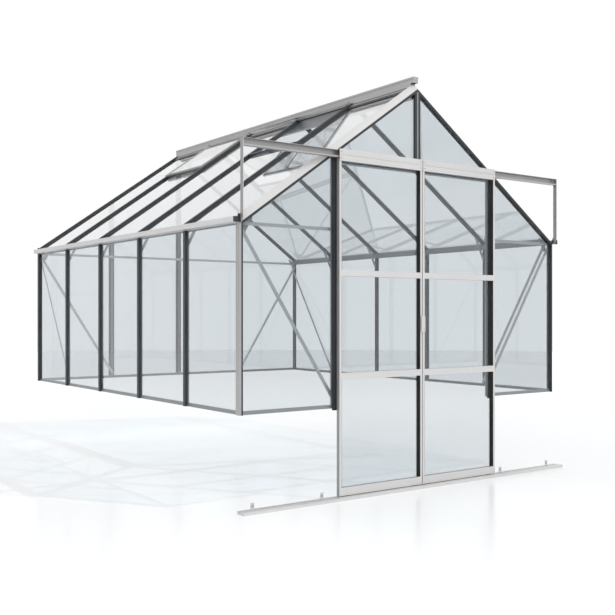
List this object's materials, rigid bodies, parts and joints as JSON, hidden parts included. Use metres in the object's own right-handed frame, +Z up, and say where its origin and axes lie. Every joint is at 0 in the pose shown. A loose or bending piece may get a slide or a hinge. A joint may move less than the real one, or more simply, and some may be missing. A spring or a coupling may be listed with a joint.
{
  "type": "glass greenhouse",
  "caption": "Half-glazed aluminium greenhouse for a low masonry wall, with a gabled roof, gutters, roof vents and a pair of sliding doors that reach down to the ground.",
  "frame": {"origin": "middle of the underside of the rear gable's sill, at the level of the wall's top", "axes": "+X to the right as seen from the doors, +Y along the ridge from the doors to the rear gable, +Z up"},
  "size_m": [3.1, 3.755, 2.9583],
  "materials": {
    "aluminium": "mill, lightly brushed",
    "capping": "matt dark grey",
    "glass": "clear",
    "nylon": "moulded nylon"
  },
  "bodies": {
    "frame": {"side_sills": "aluminium", "gable_sills": "aluminium", "corner_posts": "aluminium", "verges": "aluminium", "wall_bars": "aluminium", "wall_caps": "capping", "rafters": "aluminium", "roof_caps": "capping", "gable_bars": "aluminium", "door_jambs": "aluminium", "door_lintel": "aluminium", "gable_strips": "capping", "corner_strips": "capping", "verge_strips": "capping", "eave_beams": "aluminium", "gutters": "aluminium", "gutter_ends": "capping", "ridge_beam": "aluminium", "ridge_cap": "aluminium", "ridge_flashing": "aluminium", "ridge_seals": "capping", "wall_glass": "glass", "roof_glass": "glass", "gable_glass": "glass", "vent_frames": "aluminium", "vent_glass": "glass", "vent_curbs": "aluminium", "vent_hinges": "aluminium", "braces": "aluminium", "tie_bars": "aluminium", "knee_braces": "aluminium", "door_track": "aluminium", "track_struts": "aluminium", "ground_rail": "aluminium"},
    "door_left": {"left_stiles": "aluminium", "left_rails": "aluminium", "left_seals": "capping", "left_header": "aluminium", "left_glass": "glass", "left_rollers": "nylon", "left_guides": "nylon"},
    "door_right": {"right_stiles": "aluminium", "right_rails": "aluminium", "right_seals": "capping", "right_header": "aluminium", "right_glass": "glass", "right_rollers": "nylon", "right_guides": "nylon", "door_handle": "aluminium"}
  },
  "joints": [
    {"name": "left_door_slide", "type": "slide", "parent": "frame", "child": "door_left", "axis": [-1, 0, 0], "range_m": [0, 0.743]},
    {"name": "right_door_slide", "type": "slide", "parent": "frame", "child": "door_right", "axis": [1, 0, 0], "range_m": [0, 0.725]}
  ]
}
